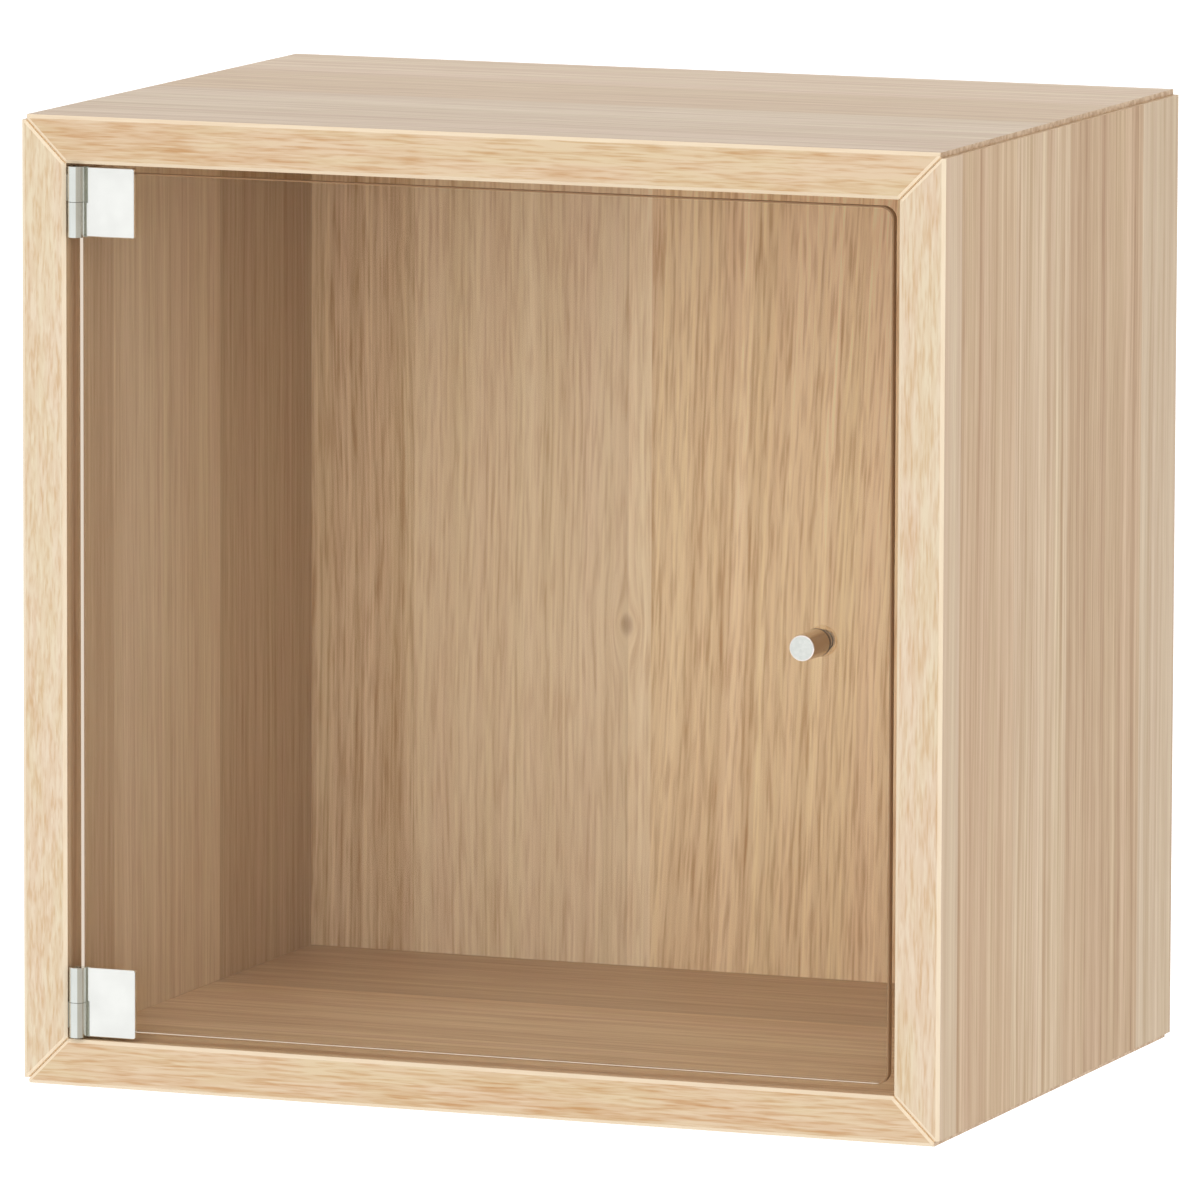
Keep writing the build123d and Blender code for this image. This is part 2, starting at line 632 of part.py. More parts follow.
with BuildPart() as hinge_front_gaskets:
    for side in SIDES:
        with BuildSketch(behind_front(GLASS_SETBACK)):
            leaf_outline(side, GASKET_INSET)
            clamp_hole(side, BOSS_R + COLLAR_PLAY, Mode.SUBTRACT)
        extrude(amount=GASKET)
        with BuildSketch(behind_front(GLASS_BACK)):
            clamp_hole(side, GLASS_HOLE_R - COLLAR_PLAY, Mode.ADD)
            clamp_hole(side, BOSS_R + COLLAR_PLAY, Mode.SUBTRACT)
        extrude(amount=GLASS)

with BuildPart() as hinge_rear_gaskets:
    for side in SIDES:
        with BuildSketch(behind_front(CLAMP_FRONT)):
            clamp_outline(side, CLAMP_GASKET_INSET)
            clamp_hole(side, BOSS_R + COLLAR_PLAY, Mode.SUBTRACT)
        extrude(amount=GASKET)

with BuildPart() as hinge_clamp_screws:
    clamp_heads = [
        Plane(origin=(CLAMP_HOLE_X, FRONT + CLAMP_BACK, MIDDLE + side * CLAMP_HOLE_HEIGHT), z_dir=(0, 1, 0))
        for side in SIDES
    ]
    with Locations(*clamp_heads):
        Cylinder(CLAMP_SCREW_R, CLAMP_SCREW_LENGTH, align=TO_TOP)
        Cone(CLAMP_SCREW_R, CLAMP_SCREW_HEAD_R, CLAMP_SCREW_HEAD_R - CLAMP_SCREW_R, align=TO_TOP)
        cross_recess(CLAMP_SCREW_HEAD_R)

# ---- glass door ----
with BuildPart() as glass_door:
    with BuildSketch(behind_front(GLASS_BACK)):
        glass_left = LEFT_INNER + GLASS_GAP_LEFT
        glass_right = RIGHT_INNER - GLASS_GAP_RIGHT
        glass_width = glass_right - glass_left
        with Locations(((glass_left + glass_right) / 2, MIDDLE)):
            RectangleRounded(glass_width, 2 * (HALF_OPENING - GLASS_GAP_END), GLASS_CORNER_R)
        for side in SIDES:
            clamp_hole(side, GLASS_HOLE_R, Mode.SUBTRACT)
        with Locations((KNOB_X, KNOB_HEIGHT)):
            Circle(KNOB_HOLE_R, mode=Mode.SUBTRACT)
    extrude(amount=GLASS)
    chamfer(glass_door.faces().filter_by(Axis.Y).edges(), GLASS_ARRIS)


# ---- knob ----
def turned(back, length, radius, bore=0.0, taper=0.0, mode=Mode.ADD):
    """A round piece on the knob's axis whose back is this far behind the cabinet's front."""
    with BuildSketch(behind_front(back)) as disc:
        with Locations((KNOB_X, KNOB_HEIGHT)):
            Circle(radius)
            if bore:
                Circle(bore, mode=Mode.SUBTRACT)
    extrude(disc.sketch, amount=length, taper=taper, mode=mode)


KNOB_BACK = GLASS_SETBACK - KNOB_GASKET

with BuildPart() as door_knob:
    turned(KNOB_BACK, KNOB_LENGTH, KNOB_R, taper=KNOB_TAPER)
    fillet(door_knob.faces().sort_by(Axis.Y)[0].edges(), KNOB_RIM)
    chamfer(door_knob.faces().sort_by(Axis.Y)[-1].edges(), KNOB_FOOT_CHAMFER)
    turned(KNOB_BACK, KNOB_THREAD_DEPTH, KNOB_SCREW_R, mode=Mode.SUBTRACT)

with BuildPart() as knob_gasket:
    turned(GLASS_SETBACK, KNOB_GASKET, KNOB_GASKET_R, KNOB_SCREW_R + COLLAR_PLAY)

with BuildPart() as knob_washer:
    turned(GLASS_BACK + KNOB_WASHER_T, KNOB_WASHER_T, KNOB_WASHER_R, KNOB_SCREW_R + COLLAR_PLAY)
    turned(GLASS_BACK, GLASS - COLLAR_PLAY, KNOB_HOLE_R - COLLAR_PLAY, KNOB_SCREW_R + COLLAR_PLAY)

with BuildPart() as knob_screw:
    turned(GLASS_BACK + KNOB_WASHER_T, KNOB_SCREW_LENGTH, KNOB_SCREW_R)
    turned(GLASS_BACK + KNOB_WASHER_T + KNOB_SCREW_HEAD, KNOB_SCREW_HEAD, KNOB_SCREW_HEAD_R)
    chamfer(knob_screw.faces().sort_by(Axis.Y)[-1].edges(), KNOB_SCREW_CHAMFER)
    head_back = FRONT + GLASS_BACK + KNOB_WASHER_T + KNOB_SCREW_HEAD
    with Locations(Plane(origin=(KNOB_X, head_back, KNOB_HEIGHT), z_dir=(0, 1, 0))):
        cross_recess(KNOB_SCREW_HEAD_R)

# ---- files ----
os.makedirs("parts", exist_ok=True)
pieces = {
    "top_panel": top_panel,
    "bottom_panel": bottom_panel,
    "left_side_panel": left_side_panel,
    "right_side_panel": right_side_panel,
    "back_board": back_board,
    "wedge_dowels": wedge_dowels,
    "wall_rail": wall_rail,
    "left_hanger_bracket": left_hanger_bracket,
    "right_hanger_bracket": right_hanger_bracket,
    "hanger_screws": hanger_screws,
    "hanger_lock_screws": hanger_lock_screws,
    "lock_screw_caps": lock_screw_caps,
    "upper_hinge_base": upper_hinge_base,
    "lower_hinge_base": lower_hinge_base,
    "hinge_base_screws": hinge_base_screws,
    "hinge_magnets": hinge_magnets,
    "hinge_pins": hinge_pins,
    "hinge_thrust_washers": hinge_thrust_washers,
    "glass_door": glass_door,
    "upper_hinge_leaf": upper_hinge_leaf,
    "lower_hinge_leaf": lower_hinge_leaf,
    "upper_clamp_plate": upper_clamp_plate,
    "lower_clamp_plate": lower_clamp_plate,
    "hinge_front_gaskets": hinge_front_gaskets,
    "hinge_rear_gaskets": hinge_rear_gaskets,
    "hinge_clamp_screws": hinge_clamp_screws,
    "door_knob": door_knob,
    "knob_gasket": knob_gasket,
    "knob_washer": knob_washer,
    "knob_screw": knob_screw,
}
for piece_name, piece in pieces.items():
    save(piece, piece_name)
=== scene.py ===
"""Looks for the wall mounted showcase: oak foil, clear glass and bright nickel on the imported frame.

Metres, in the frame of the model: the wall is y = 0, the cabinet faces -Y and +X is to its right.
"""
import math

import bpy
from mathutils import Matrix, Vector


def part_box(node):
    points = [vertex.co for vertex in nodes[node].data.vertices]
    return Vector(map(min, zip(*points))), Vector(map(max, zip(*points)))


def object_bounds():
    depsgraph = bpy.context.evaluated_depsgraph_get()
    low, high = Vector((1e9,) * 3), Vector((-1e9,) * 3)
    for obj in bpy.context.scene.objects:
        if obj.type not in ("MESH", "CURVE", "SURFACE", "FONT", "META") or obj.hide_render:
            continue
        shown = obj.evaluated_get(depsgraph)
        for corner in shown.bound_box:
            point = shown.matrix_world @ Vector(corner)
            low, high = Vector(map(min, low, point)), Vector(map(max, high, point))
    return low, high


MM = 0.001
WHITE = (1, 1, 1, 1)

# ---- camera and stage ----
CAMERA_PLACE = (1.72863, -4.56359, 0.51849)
CAMERA_YAW = 21.298
CAMERA_PITCH = -7.744
CAMERA_ROLL = 0.194
CAMERA_LENS = 398.32
FLOOR_DROP = 1.0
FLOOR_SIZE = 60.0
AMBIENT = 0.69
KEY = 1.32
KEY_POWER = 2.0
KEY_DIRECTION = (0.16, -0.97, 0.08)
FLOOR_PALE = (0.8, 0.8, 0.8, 1)
FLOOR_GLOW = 0.30
FLOOR_WHITE = 0.25
DIM_DIRECTION = (0.996, 0.087, 0.0)
DIM_EDGE = 0.53
DIM_SOFTNESS = 0.06
DIM_LEVEL = 0.45
SHEEN_DIRECTION = (-0.3, 0.85, 0.3)
SHEEN_EDGE = (0.5, 0.9)
SHEEN_LEVEL = 1.1

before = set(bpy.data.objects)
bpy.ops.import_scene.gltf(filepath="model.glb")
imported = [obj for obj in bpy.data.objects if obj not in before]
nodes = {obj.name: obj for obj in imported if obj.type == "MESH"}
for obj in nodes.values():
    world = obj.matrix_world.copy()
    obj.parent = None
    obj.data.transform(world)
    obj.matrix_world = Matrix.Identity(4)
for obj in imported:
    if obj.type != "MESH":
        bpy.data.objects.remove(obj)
cad_low, cad_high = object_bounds()


def srgb(red, green, blue):
    """A display colour, 0 to 255, as linear light."""
    return tuple(((c / 255 + 0.055) / 1.055) ** 2.4 for c in (red, green, blue)) + (1.0,)


class Graph:
    """One material's nodes: each method adds a node and gives back the socket it puts out."""

    def __init__(self, tree):
        self.tree = tree
        self.tree.nodes.clear()

    def add(self, kind, inputs=None, output=0, **settings):
        """A node with these settings and inputs; an input is a socket to link or a plain value."""
        node = self.tree.nodes.new(kind)
        for key, value in settings.items():
            setattr(node, key, value)
        for key, value in (inputs or {}).items():
            self.feed(node.inputs[key], value)
        return node.outputs[output]

    def feed(self, socket, value):
        """Link a socket, or set its plain value."""
        if isinstance(value, bpy.types.NodeSocket):
            self.tree.links.new(value, socket)
        else:
            socket.default_value = value

    def math(self, operation, first, second=0.0):
        return self.add("ShaderNodeMath", {0: first, 1: second}, operation=operation)

    def sum(self, *terms):
        total = terms[0]
        for term in terms[1:]:
            total = self.math("ADD", total, term)
        return total

    def times(self, first, second):
        return self.math("MULTIPLY", first, second)

    def above(self, value, limit):
        """1 where the value is more than the limit, 0 elsewhere."""
        return self.math("GREATER_THAN", value, limit)

    def below(self, value, limit):
        """1 where the value is less than the limit, 0 elsewhere."""
        return self.math("LESS_THAN", value, limit)

    def between(self, value, low, high, to_low=0.0, to_high=1.0, smooth=False):
        """Value mapped from low..high to to_low..to_high and held at the ends."""
        inputs = {"Value": value, "From Min": low, "From Max": high, "To Min": to_low, "To Max": to_high}
        kind = "SMOOTHSTEP" if smooth else "LINEAR"
        return self.add("ShaderNodeMapRange", inputs, interpolation_type=kind)

    def blend(self, factor, first, second):
        """A plain number part way from the first to the second."""
        return self.add("ShaderNodeMix", {0: factor, 2: first, 3: second}, data_type="FLOAT")

    def mix(self, factor, first, second, blend="MIX"):
        node = self.tree.nodes.new("ShaderNodeMix")
        node.data_type = "RGBA"
        node.blend_type = blend
        self.feed(node.inputs[0], factor)
        self.feed(node.inputs[6], first)
        self.feed(node.inputs[7], second)
        return node.outputs[2]

    def tinted(self, colour, tint):
        """A colour multiplied by another."""
        return self.mix(1.0, colour, tint, "MULTIPLY")

    def vector(self, x, y, z):
        return self.add("ShaderNodeCombineXYZ", {0: x, 1: y, 2: z})

    def split(self, vector):
        node = self.tree.nodes.new("ShaderNodeSeparateXYZ")
        self.feed(node.inputs[0], vector)
        return node.outputs[0], node.outputs[1], node.outputs[2]

    def noise(self, vector, detail=2.0, roughness=0.5):
        """Smooth noise from 0 to 1 whose blobs are about one unit of the vector across."""
        inputs = {"Vector": vector, "Scale": 1.0, "Detail": detail, "Roughness": roughness}
        return self.add("ShaderNodeTexNoise", inputs)

    def steps(self, value, span, stops):
        """A colour that changes at each stop (start, colour) as value runs over span."""
        low, high = span
        node = self.tree.nodes.new("ShaderNodeValToRGB")
        node.color_ramp.interpolation = "CONSTANT"
        elements = node.color_ramp.elements
        while len(elements) < len(stops):
            elements.new(0.5)
        for element, (start, colour) in zip(elements, stops):
            element.position = (start - low) / (high - low)
        for element, (start, colour) in zip(elements, stops):
            element.color = colour
        self.feed(node.inputs[0], self.between(value, low, high))
        return node.outputs[0]

    def place(self):
        """The point being shaded, in metres."""
        return self.split(self.add("ShaderNodeTexCoord", output=3))

    def scaled_place(self, scale):
        """The point being shaded, with so many units to a metre."""
        return self.vector(*[self.times(value, scale) for value in self.place()])

    def facing(self):
        """How squarely the flat face looks along each axis of its own piece, turning with the piece."""
        normal = self.add("ShaderNodeNewGeometry", output=3)
        turned = {"vector_type": "NORMAL", "convert_from": "WORLD", "convert_to": "OBJECT"}
        return self.split(self.add("ShaderNodeVectorTransform", {0: normal}, **turned))

    def bump(self, height, distance, strength=1.0):
        return self.add("ShaderNodeBump", {"Height": height, "Distance": distance, "Strength": strength})

    def principled(self, **inputs):
        named = {key.replace("_", " "): value for key, value in inputs.items()}
        return self.add("ShaderNodeBsdfPrincipled", named)

    def surface(self, shader):
        output = self.tree.nodes.new("ShaderNodeOutputMaterial")
        self.tree.links.new(shader, output.inputs["Surface"])


def new_material(name):
    """A material and the graph that draws it."""
    material = bpy.data.materials.new(name)
    material.use_nodes = True
    return material, Graph(material.node_tree)


# ---- oak foil ----
LIGHT_OAK = srgb(238, 213, 180)
DARK_OAK = srgb(176, 132, 90)
FRONT_LIGHT = srgb(236, 213, 180)
FRONT_GOLD = srgb(208, 160, 106)
ROSY = (1.010, 0.994, 1.004, 1.0)
OLIVE = (0.994, 1.008, 0.966, 1.0)
BEVEL_PALE = srgb(240, 222, 194)
CORE_BROWN = srgb(190, 155, 117)
CORE_PALE = srgb(218, 190, 156)
SEAM_BROWN = srgb(240, 216, 180)
KNOT_BROWN = srgb(150, 104, 66)
BEVEL_SHARE = 0.7
SEAM_DEPTH = 0.5 * MM
FRONT_DEPTH = 0.2
SEED_SLIDE = 3.7
FRONT_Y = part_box("top_panel")[0].y
LEFT_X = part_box("left_side_panel")[0].x

# how squarely a face looks along an axis, from 0 to 1, or to the front as a minus
FLAT_FRONT = -0.98
BEVEL_FROM = -0.2
MITRE_FROM = 0.6
CUT_FROM = 0.8

# blobs of noise in a metre, along the grain and across it
DRIFT_BLOBS = (4.0, 14.0)
BAND_BLOBS = (1.3, 190.0)
LINE_BLOBS = (8.0, 700.0)
DASH_BLOBS = (40.0, 660.0)
HUE_BLOBS = (3.0, 90.0)
FRONT_CLOUD_BLOBS = (24.0, 330.0)
FRONT_DRIFT_BLOBS = (6.0, 70.0)
FRONT_DARK_BLOBS = (56.0, 960.0)
FRONT_PALE_BLOBS = (42.0, 760.0)
FRONT_HUE_BLOBS = (22.0, 130.0)
CUT_BLOBS = 420.0


class Plank:
    """One lamella printed on the foil: where it starts, its tone and the character of its grain."""

    def __init__(self, start, tone, fine, short, broad, seed, slant=0.0):
        self.start = start
        self.tone = tone
        self.weights = (fine, short, broad, seed)
        self.slant = slant


class Front:
    """A front band's foil: its tone, how long its streaks are, how far they lean and how strong they are."""

    def __init__(self, tone, length=1.0, lean=0.0, contrast=1.0):
        self.tone = tone
        self.length = length
        self.lean = lean
        self.contrast = contrast


def tone(value, red=1.0, green=1.0, blue=1.0):
    """A plank's tone, as a multiplier of the oak colour."""
    return (value * red, value * green, value * blue)


def behind(distance):
    """A y place this many millimetres behind the front."""
    return FRONT_Y + distance * MM


def from_left(distance):
    """An x place this many millimetres from the cabinet's left face."""
    return LEFT_X + distance * MM


def streaks(graph, point, blobs, detail=2.0, roughness=0.55, length=1.0):
    """Noise drawn out along the grain; length stretches its blobs further."""
    along = blobs[0] / length
    across = blobs[1]
    scaled = graph.vector(
        graph.times(point[0], along), graph.times(point[1], across), graph.times(point[2], across)
    )
    return graph.noise(scaled, detail, roughness)


def oak_grain(graph, point, weights, sway):
    """Grain about 0.5, darker when higher, from long fine lines, short dashes and broad bands."""
    fine, short, broad = weights
    drift = streaks(graph, point, DRIFT_BLOBS, 1.0)
    swayed = graph.sum(point[1], graph.between(drift, 0.2, 0.8, -sway, sway))
    point = (point[0], swayed, point[2])
    bands = streaks(graph, point, BAND_BLOBS, 2.0, 0.6)
    lines = streaks(graph, point, LINE_BLOBS, 2.0, 0.65)
    dashes = streaks(graph, point, DASH_BLOBS, 2.0, 0.5)
    terms = (
        graph.times(graph.between(bands, 0.3, 0.7, -0.5, 0.5), broad),
        graph.times(graph.between(lines, 0.3, 0.7, -0.5, 0.5), fine),
        graph.times(graph.between(dashes, 0.46, 0.68, -0.2, 0.9), short),
    )
    return graph.sum(0.5, *terms), dashes


def front_colour(graph, point, front):
    """The front bands' mottled ground with short golden streaks."""
    leaned = graph.sum(point[1], graph.times(point[0], front.lean))
    tipped = (point[0], leaned, point[2])
    length = front.length
    cloud = streaks(graph, tipped, FRONT_CLOUD_BLOBS, 2.0, 0.6, length)
    drift = streaks(graph, point, FRONT_DRIFT_BLOBS, length=length)
    dark = streaks(graph, tipped, FRONT_DARK_BLOBS, 2.0, 0.6, length)
    pale = streaks(graph, tipped, FRONT_PALE_BLOBS, 2.0, 0.6, length)
    hue = streaks(graph, point, FRONT_HUE_BLOBS)
    mottle = graph.sum(
        graph.between(cloud, 0.32, 0.68, 0.0, 0.42),
        graph.between(drift, 0.3, 0.7, -0.12, 0.12),
        graph.between(dark, 0.46, 0.66, 0.0, 0.56),
        graph.between(pale, 0.32, 0.52, -0.40, 0.0),
    )
    depth = graph.sum(FRONT_DEPTH, graph.times(graph.sum(mottle, -FRONT_DEPTH), front.contrast))
    colour = graph.mix(depth, FRONT_LIGHT, FRONT_GOLD)
    colour = graph.tinted(colour, graph.mix(graph.between(hue, 0.38, 0.62), ROSY, OLIVE))
    return graph.tinted(colour, front.tone + (1.0,))


def cut_colour(graph, point):
    """The blunt tips, cut across: mottled brown."""
    mottle = graph.noise(graph.vector(*[graph.times(value, CUT_BLOBS) for value in point]), 3.0)
    return graph.mix(graph.between(mottle, 0.38, 0.62), CORE_BROWN, CORE_PALE)


def foil_pattern(graph, point, planks, sway, knot):
    """The planks' grain, its short dashes and the colour that they give the foil."""
    span = (planks[0].start, planks[-1].start + 1.0)
    plank_tone = graph.steps(point[1], span, [(p.start, p.tone + (0.5 + p.slant,)) for p in planks])
    plank_slant = graph.sum(plank_tone.node.outputs[1], -0.5)
    plank_weights = graph.steps(point[1], span, [(p.start, p.weights) for p in planks])
    seed = plank_weights.node.outputs[1]
    slid = graph.sum(point[0], graph.times(seed, SEED_SLIDE))
    leaned = graph.sum(point[1], graph.times(plank_slant, point[0]))
    if knot:
        leaned = graph.sum(leaned, knot_push(graph, point, knot))
    moved = (slid, leaned, point[2])
    grain, dashes = oak_grain(graph, moved, graph.split(plank_weights), sway)
    colour = graph.mix(graph.between(grain, 0.0, 1.0), LIGHT_OAK, DARK_OAK)
    hue = streaks(graph, moved, HUE_BLOBS)
    colour = graph.tinted(colour, graph.mix(graph.between(hue, 0.35, 0.65), ROSY, OLIVE))
    return grain, dashes, graph.tinted(colour, plank_tone)


def painted_light_ramps(graph, point, colour, light_ramps):
    """Painted light: a colour made gradually lighter along each ramp, standing in for how the light falls:
    its axis, two places and the levels there.
    """
    for axis, low, high, first, last in light_ramps:
        level = graph.between(point[axis], low, high, first, last)
        colour = graph.tinted(colour, graph.vector(level, level, level))
    return colour


def front_layers(graph, colour, place, axes, front):
    """A panel's foil with its front band, pale bevels, blunt cut tips and mitre seams drawn over it."""
    look = dict(zip("xyz", graph.facing()))
    point = [place[axis] for axis in axes]
    slope = graph.math("ABSOLUTE", look[axes[0]])
    face = front_colour(graph, point, front)
    colour = graph.mix(graph.below(look["y"], FLAT_FRONT), colour, face)
    colour = graph.mix(bevel_mask(graph, look), colour, graph.mix(BEVEL_SHARE, face, BEVEL_PALE))
    colour = graph.mix(graph.above(slope, CUT_FROM), colour, cut_colour(graph, point))
    return graph.mix(seam_mask(graph, slope, look, place), colour, SEAM_BROWN)


def oak_foil(name, axes, planks, front=None, sway=MM, knot=None, light_ramps=()):
    """Oak-effect foil: axes name the directions along the grain, across it and through the board."""
    material, graph = new_material(name)
    place = dict(zip("xyz", graph.place()))
    point = [place[axis] for axis in axes]
    grain, dashes, colour = foil_pattern(graph, point, planks, sway, knot)
    # painted light: the ramps lighten the foil where more light falls
    colour = painted_light_ramps(graph, point, colour, light_ramps)
    if knot:
        colour = graph.mix(knot_core(graph, point, knot), colour, KNOT_BROWN)
    if front:
        colour = front_layers(graph, colour, place, axes, front)
    gloss = graph.between(grain, 0.0, 1.0, 0.36, 0.46)
    bump = graph.bump(graph.math("SUBTRACT", 1.0, dashes), 0.02 * MM, 0.5)
    graph.surface(
        graph.principled(Base_Color=colour, Roughness=gloss, Specular_IOR_Level=0.5, Normal=bump)
    )
    return material


def bevel_mask(graph, look):
    """1 on the slanting faces of the bevels round each front."""
    return graph.times(graph.below(look["y"], BEVEL_FROM), graph.above(look["y"], FLAT_FRONT))


def seam_mask(graph, slope, look, place):
    """1 on the mitre faces and on the floor of the seam; slope is how far the face looks along the grain."""
    mitre = graph.times(graph.above(slope, MITRE_FROM), graph.below(slope, CUT_FROM))
    behind_front = graph.above(place["y"], FRONT_Y + SEAM_DEPTH)
    return graph.math("MAXIMUM", mitre, graph.times(graph.below(look["y"], FLAT_FRONT), behind_front))


def knot_distance(graph, point, knot):
    """How far the point is from the knot, in knot radii, stretched along the grain."""
    along, across, radius = knot
    away = graph.times(graph.sum(point[0], -along), 0.6 / radius)
    aside = graph.times(graph.sum(point[1], -across), 1.0 / radius)
    return away, aside


def knot_push(graph, point, knot):
    """How far the grain is pushed aside round the knot."""
    away, aside = knot_distance(graph, point, knot)
    square = graph.sum(graph.times(away, away), graph.times(aside, aside))
    fade = graph.math("DIVIDE", knot[2] * 2.0, graph.sum(1.0, graph.times(square, 0.35)))
    side = graph.between(aside, -1.5, 1.5, 1.0, -1.0)
    return graph.times(fade, side)


def knot_core(graph, point, knot):
    """1 in the middle of the knot, falling to 0 round it."""
    away, aside = knot_distance(graph, point, knot)
    far = graph.math("SQRT", graph.sum(graph.times(away, away), graph.times(aside, aside)))
    return graph.between(far, 0.2, 1.2, 0.5, 0.0, smooth=True)


TOP_PLANKS = (
    Plank(behind(-1), tone(0.90, 0.98, 1.0, 1.04), 0.30, 0.12, 0.30, 0.1),
    Plank(behind(40), tone(0.94, 0.98, 1.04, 1.10), 0.35, 0.12, 0.25, 0.3),
    Plank(behind(112), tone(0.89, 0.99, 0.97, 0.90), 0.30, 0.12, 0.25, 0.6),
    Plank(behind(181), tone(0.99, 0.98, 1.01, 1.05), 0.25, 0.12, 0.30, 0.8),
)
BOTTOM_PLANKS = (
    Plank(behind(-1), tone(1.14, 0.99, 1.02, 1.04), 0.30, 0.15, 0.30, 0.2),
    Plank(behind(136), tone(0.90, 1.0, 0.99, 0.95), 0.30, 0.15, 0.30, 0.5),
)
LEFT_PLANKS = (
    Plank(behind(-1), tone(0.86), 0.30, 0.12, 0.30, 0.15),
    Plank(behind(40), tone(1.07, 0.98, 1.07, 1.15), 0.30, 0.12, 0.20, 0.35),
    Plank(behind(137), tone(0.80, 1.0, 1.02, 1.0), 0.35, 0.15, 0.30, 0.7),
)
RIGHT_PLANKS = (
    Plank(behind(-1), tone(0.96, 1.0, 1.04, 1.09), 0.20, 0.05, 0.20, 0.2),
    Plank(behind(14), tone(0.87, 1.0, 0.95, 0.86), 0.35, 0.10, 0.50, 0.4),
    Plank(behind(71), tone(0.94, 1.0, 1.02, 0.99), 0.40, 0.10, 0.55, 0.9),
    Plank(behind(128), tone(0.80, 1.0, 0.92, 0.80), 0.40, 0.12, 0.55, 0.6),
    Plank(behind(207), tone(0.92, 0.98, 1.03, 1.05), 0.25, 0.08, 0.35, 0.9),
)
BACK_PLANKS = (
    Plank(from_left(0), tone(1.15, 1.0, 1.01, 0.99), 0.40, 0.30, 0.35, 0.25),
    Plank(from_left(57), tone(1.41, 0.96, 1.05, 1.11), 0.20, 0.20, 0.20, 0.5),
    Plank(from_left(144), tone(1.57, 0.97, 1.08, 1.19), 0.20, 0.20, 0.15, 0.5),
    Plank(from_left(152), tone(1.36, 1.0, 1.03, 0.98), 0.20, 0.32, 0.42, 0.75, -0.04),
)
# painted light on the back board: darker towards the bottom, lighter towards the top and towards the right
# end
BACK_PAINTED_LIGHT_RAMPS = (
    (0, cad_low.z + 30 * MM, cad_low.z + 310 * MM, 0.93, 1.07),
    (1, from_left(160), from_left(240), 0.96, 1.08),
)
BACK_KNOT = (cad_low.z + 144.7 * MM, from_left(143.5), 3.0 * MM)
RAIL_FRONT = Front(tone(0.79, 1.0, 0.967, 0.93))
LEFT_FRONT = Front(tone(0.84, 1.0, 1.05, 1.13), 1.6, -0.12, 0.7)
RIGHT_FRONT = Front(tone(0.83, 1.0, 1.04, 1.12), 1.6, 0.08, 0.7)


# ---- metals, rubber and plastics ----
BRUSH_ALONG = 300.0
BRUSH_ACROSS = 6000.0
CLOUD_GREY = srgb(150, 150, 146)
MOULD_GRAIN = 0.4 * MM
MOULD_DEPTH = 0.01 * MM
# painted reflection and painted shade on the hinges: the barrel, web and neck colours stand in for how the
# light and a dim right side fall on them
BARREL_DEPTH = 3.7 * MM
BARREL_SHADE_FROM = 0.3
BARREL_SHADE_SOFT = 0.08
BARREL_EDGE_TURN = (-0.95, -0.3)
BARREL_END = 24.0
BARREL_EDGE_PAINTED_SHADE = (0.66, 0.70, 0.70, 1.0)
BARREL_PAINTED_REFLECTION = (0.86, 0.88, 0.87, 1.0)
BARREL_PAINTED_DIM_REFLECTION = (0.53, 0.50, 0.44, 1.0)
WEB_END = 18.0
WEB_PAINTED_SHADE = (0.30, 0.27, 0.22, 1.0)
NECK_DEPTH = 2.05 * MM
NECK_PAINTED_SHADE = (0.54, 0.56, 0.50, 1.0)
NECK_FLAT = -0.9
RING_PITCH = 0.12 * MM
# painted reflection on the knob: its face, rim and side colours are set by which way they look, with a
# painted highlight on the rim
KNOB_FACE_PALE = srgb(228, 230, 225)
KNOB_FACE_GREY = srgb(218, 221, 216)
KNOB_RIM_PAINTED_HIGHLIGHT = srgb(250, 241, 236)
KNOB_SIDE_PAINTED_REFLECTION = srgb(232, 224, 214)
KNOB_RIM_FROM = -0.3


def brushed_metal(name, colour, roughness, axis="z", hinge=False):
    """Metal with fine brushing along one axis and a faint cloudiness; the hinge switch adds the hinges'
    painted reflection and painted shade.
    """
    material, graph = new_material(name)
    point = dict(zip("xyz", graph.place()))
    scaled = [graph.times(point[key], BRUSH_ALONG if key == axis else BRUSH_ACROSS) for key in "xyz"]
    brush = graph.noise(graph.vector(*scaled), 2.0, 0.6)
    cloud = graph.noise(graph.scaled_place(90.0))
    shade = graph.mix(graph.between(cloud, 0.3, 0.7, 0.0, 0.12), colour, CLOUD_GREY)
    # the hinges get painted reflection and painted shade
    if hinge:
        shade = paint_hinge_shade(graph, point["x"], point["y"], shade)
    gloss = graph.sum(graph.between(brush, 0.2, 0.8, -0.04, 0.04), roughness)
    bump = graph.bump(brush, 0.002 * MM, 0.5)
    graph.surface(graph.principled(Base_Color=shade, Metallic=1.0, Roughness=gloss, Normal=bump))
    return material


def paint_hinge_shade(graph, across, depth, shade):
    """Painted reflection and shade on the hinge metal: the barrel's right half is painted dim as a
    reflection of a dim right side, its left edge and bright front get painted levels too, and the recessed
    neck and the web get painted shade.
    """
    normal = graph.split(graph.add("ShaderNodeTexCoord", output=1))
    barrel = graph.mix(graph.between(normal[0], *BARREL_EDGE_TURN), BARREL_EDGE_PAINTED_SHADE, BARREL_PAINTED_REFLECTION)
    shaded_to = BARREL_SHADE_FROM + BARREL_SHADE_SOFT
    right_half = graph.between(normal[0], BARREL_SHADE_FROM, shaded_to)
    barrel = graph.mix(right_half, barrel, BARREL_PAINTED_DIM_REFLECTION)
    barrel = graph.mix(graph.below(across, from_left(WEB_END)), barrel, WEB_PAINTED_SHADE)
    sunk = graph.above(depth, FRONT_Y + NECK_DEPTH)
    neck = graph.times(sunk, graph.below(normal[1], NECK_FLAT))
    plate = graph.mix(neck, WHITE, NECK_PAINTED_SHADE)
    painted_dimming = graph.mix(graph.below(across, from_left(BARREL_END)), plate, barrel)
    in_front = graph.below(depth, FRONT_Y + BARREL_DEPTH)
    return graph.tinted(shade, graph.mix(in_front, WHITE, painted_dimming))


